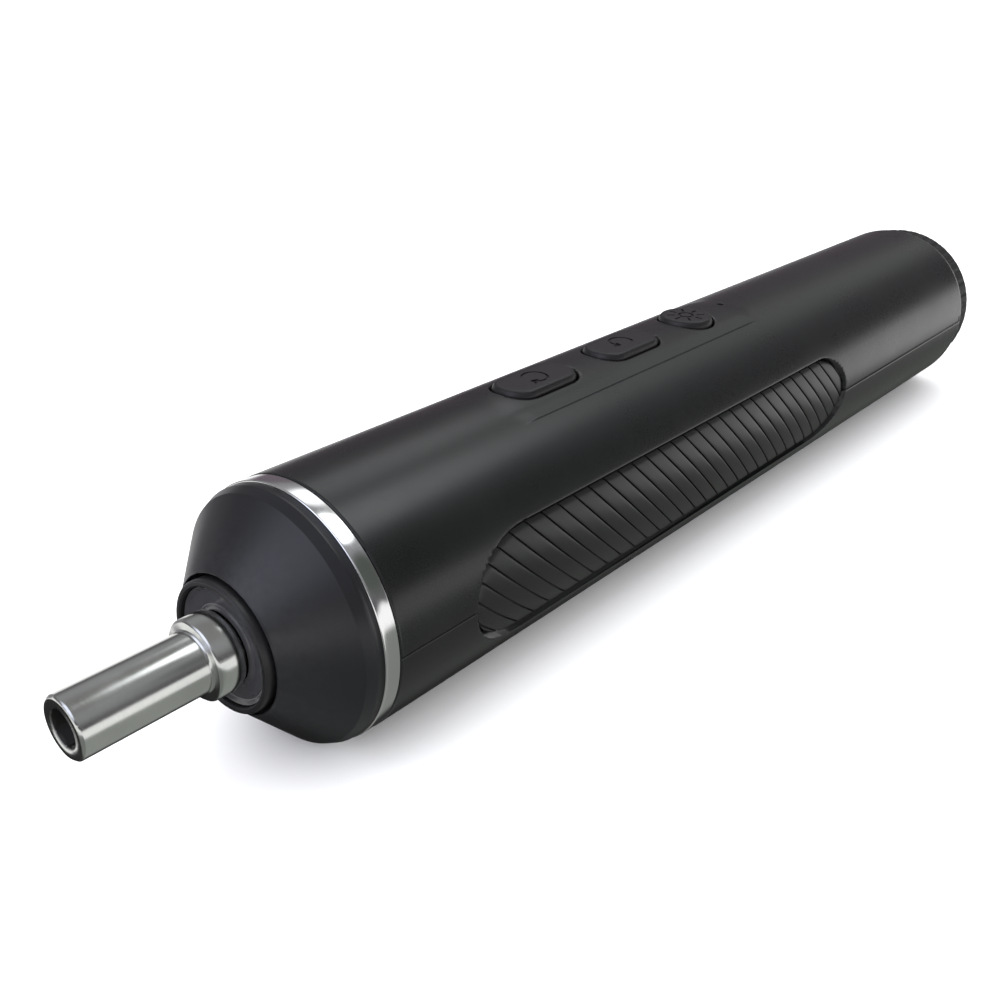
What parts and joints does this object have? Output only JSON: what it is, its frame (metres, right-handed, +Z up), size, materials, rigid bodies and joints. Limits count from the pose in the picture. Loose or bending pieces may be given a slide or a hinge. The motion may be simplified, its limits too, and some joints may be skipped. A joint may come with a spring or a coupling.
{
  "type": "electric torque screwdriver",
  "caption": "Inline cordless torque screwdriver: round two-shell handle, conical nose with light ring, hex bit spindle, planetary drive, top buttons and rear torque ring.",
  "frame": {"origin": "middle of the footprint, on the surface that the tool lies on", "axes": "+X from the bit socket to the torque ring along the tool axis, +Z up through the buttons"},
  "size_m": [0.2172, 0.035, 0.0353],
  "materials": {
    "shell_plastic": "fine satin texture",
    "nose_plastic": "smooth satin",
    "trim_metal": "polished ring",
    "bezel_plastic": "gloss",
    "smoked_lens": "smoked clear plastic",
    "circuit_board": "solder mask",
    "bearing_steel": "ground",
    "seal_rubber": "matte",
    "spindle_steel": "turned",
    "magnet": "dark plated",
    "dark_steel": "black oxide",
    "plate_alloy": "die cast",
    "bush_bronze": "sintered",
    "gear_steel": "sintered",
    "gear_brass": "machined",
    "motor_steel": "zinc plated",
    "inner_plastic": "moulded",
    "contact_brass": "stamped",
    "winding_copper": "enamelled copper",
    "switch_plastic": "moulded",
    "button_rubber": "soft touch",
    "grip_rubber": "ribbed",
    "battery_wrap": "shrink-wrapped cell",
    "contact_nickel": "nickel plated",
    "cap_plastic": "fine texture",
    "ring_plastic": "fine texture",
    "lead_insulation": "silicone insulation"
  },
  "bodies": {
    "housing": {"upper_shell": "shell_plastic", "lower_shell": "shell_plastic", "nose_cone": "nose_plastic", "trim_ring": "trim_metal", "front_bezel": "bezel_plastic", "light_lens": "smoked_lens", "led_board": "circuit_board", "front_bearing_outer": "bearing_steel", "front_bearing_balls": "bearing_steel", "spindle_seal": "seal_rubber", "gearbox_front_plate": "plate_alloy", "output_bush": "bush_bronze", "ring_gear": "gear_steel", "gearbox_screws": "dark_steel", "motor_plate": "plate_alloy", "motor_plate_screws": "dark_steel", "motor_can": "motor_steel", "motor_magnets": "magnet", "motor_endbell": "inner_plastic", "motor_terminals": "contact_brass", "main_board": "circuit_board", "tact_switches": "switch_plastic", "board_parts": "inner_plastic", "board_screws": "dark_steel", "indicator_light_pipe": "bezel_plastic", "grip_inlay_left": "grip_rubber", "grip_inlay_right": "grip_rubber", "battery_cell": "battery_wrap", "battery_tabs": "contact_nickel", "battery_cradle": "inner_plastic", "rear_board": "circuit_board", "usb_connector": "contact_nickel", "tail_hub": "inner_plastic", "end_cap": "cap_plastic", "end_cap_screws": "dark_steel", "torque_detent": "bearing_steel", "housing_screws": "dark_steel", "motor_leads": "lead_insulation", "battery_leads": "lead_insulation", "led_lead": "lead_insulation"},
    "spindle": {"spindle": "spindle_steel", "bit_magnet": "magnet", "front_bearing_inner": "bearing_steel", "spindle_circlip": "dark_steel", "stage2_carrier": "gear_steel"},
    "stage1_carrier": {"stage1_carrier": "gear_steel"},
    "rotor": {"armature": "motor_steel", "armature_windings": "winding_copper", "motor_pinion": "gear_brass"},
    "stage2_planet_a": {"stage2_planet_a": "gear_brass"},
    "stage2_planet_b": {"stage2_planet_b": "gear_brass"},
    "stage2_planet_c": {"stage2_planet_c": "gear_brass"},
    "stage1_planet_a": {"stage1_planet_a": "gear_brass"},
    "stage1_planet_b": {"stage1_planet_b": "gear_brass"},
    "stage1_planet_c": {"stage1_planet_c": "gear_brass"},
    "forward_button": {"forward_button": "button_rubber"},
    "reverse_button": {"reverse_button": "button_rubber"},
    "light_button": {"light_button": "button_rubber"},
    "torque_ring": {"torque_ring": "ring_plastic"}
  },
  "joints": [
    {"name": "spindle_spin", "type": "hinge", "parent": "housing", "child": "spindle", "pos_m": [-0.08835, 0, 0.0172], "axis": [-1, 0, 0], "continuous": true},
    {"name": "stage1_carrier_spin", "type": "hinge", "parent": "housing", "child": "stage1_carrier", "pos_m": [-0.06235, 0, 0.0172], "axis": [-1, 0, 0], "continuous": true},
    {"name": "rotor_spin", "type": "hinge", "parent": "housing", "child": "rotor", "pos_m": [-0.03835, 0, 0.0172], "axis": [-1, 0, 0], "continuous": true},
    {"name": "stage2_planet_a_spin", "type": "hinge", "parent": "spindle", "child": "stage2_planet_a", "pos_m": [-0.06575, 0.00675, 0.0172], "axis": [-1, 0, 0], "continuous": true},
    {"name": "stage2_planet_b_spin", "type": "hinge", "parent": "spindle", "child": "stage2_planet_b", "pos_m": [-0.06575, -0.00337, 0.02305], "axis": [-1, 0, 0], "continuous": true},
    {"name": "stage2_planet_c_spin", "type": "hinge", "parent": "spindle", "child": "stage2_planet_c", "pos_m": [-0.06575, -0.00337, 0.01135], "axis": [-1, 0, 0], "continuous": true},
    {"name": "stage1_planet_a_spin", "type": "hinge", "parent": "stage1_carrier", "child": "stage1_planet_a", "pos_m": [-0.05855, 0.00675, 0.0172], "axis": [-1, 0, 0], "continuous": true},
    {"name": "stage1_planet_b_spin", "type": "hinge", "parent": "stage1_carrier", "child": "stage1_planet_b", "pos_m": [-0.05855, -0.00337, 0.02305], "axis": [-1, 0, 0], "continuous": true},
    {"name": "stage1_planet_c_spin", "type": "hinge", "parent": "stage1_carrier", "child": "stage1_planet_c", "pos_m": [-0.05855, -0.00337, 0.01135], "axis": [-1, 0, 0], "continuous": true},
    {"name": "forward_button_press", "type": "slide", "parent": "housing", "child": "forward_button", "axis": [0, 0, -1], "range_m": [0, 0.0006], "stiffness_N_per_m": 1500, "springref_m": -0.0003},
    {"name": "reverse_button_press", "type": "slide", "parent": "housing", "child": "reverse_button", "axis": [0, 0, -1], "range_m": [0, 0.0006], "stiffness_N_per_m": 1500, "springref_m": -0.0003},
    {"name": "light_button_press", "type": "slide", "parent": "housing", "child": "light_button", "axis": [0, 0, -1], "range_m": [0, 0.0006], "stiffness_N_per_m": 1500, "springref_m": -0.0003},
    {"name": "torque_ring_turn", "type": "hinge", "parent": "housing", "child": "torque_ring", "pos_m": [0.10465, 0, 0.0172], "axis": [-1, 0, 0], "range_deg": [0, 300]}
  ],
  "couplings": [
    {"joint": "stage1_carrier_spin", "follows": "spindle_spin", "ratio": 5},
    {"joint": "rotor_spin", "follows": "spindle_spin", "ratio": 25},
    {"joint": "stage2_planet_a_spin", "follows": "spindle_spin", "ratio": -2.6667},
    {"joint": "stage2_planet_b_spin", "follows": "spindle_spin", "ratio": -2.6667},
    {"joint": "stage2_planet_c_spin", "follows": "spindle_spin", "ratio": -2.6667},
    {"joint": "stage1_planet_a_spin", "follows": "spindle_spin", "ratio": -13.333},
    {"joint": "stage1_planet_b_spin", "follows": "spindle_spin", "ratio": -13.333},
    {"joint": "stage1_planet_c_spin", "follows": "spindle_spin", "ratio": -13.333}
  ]
}
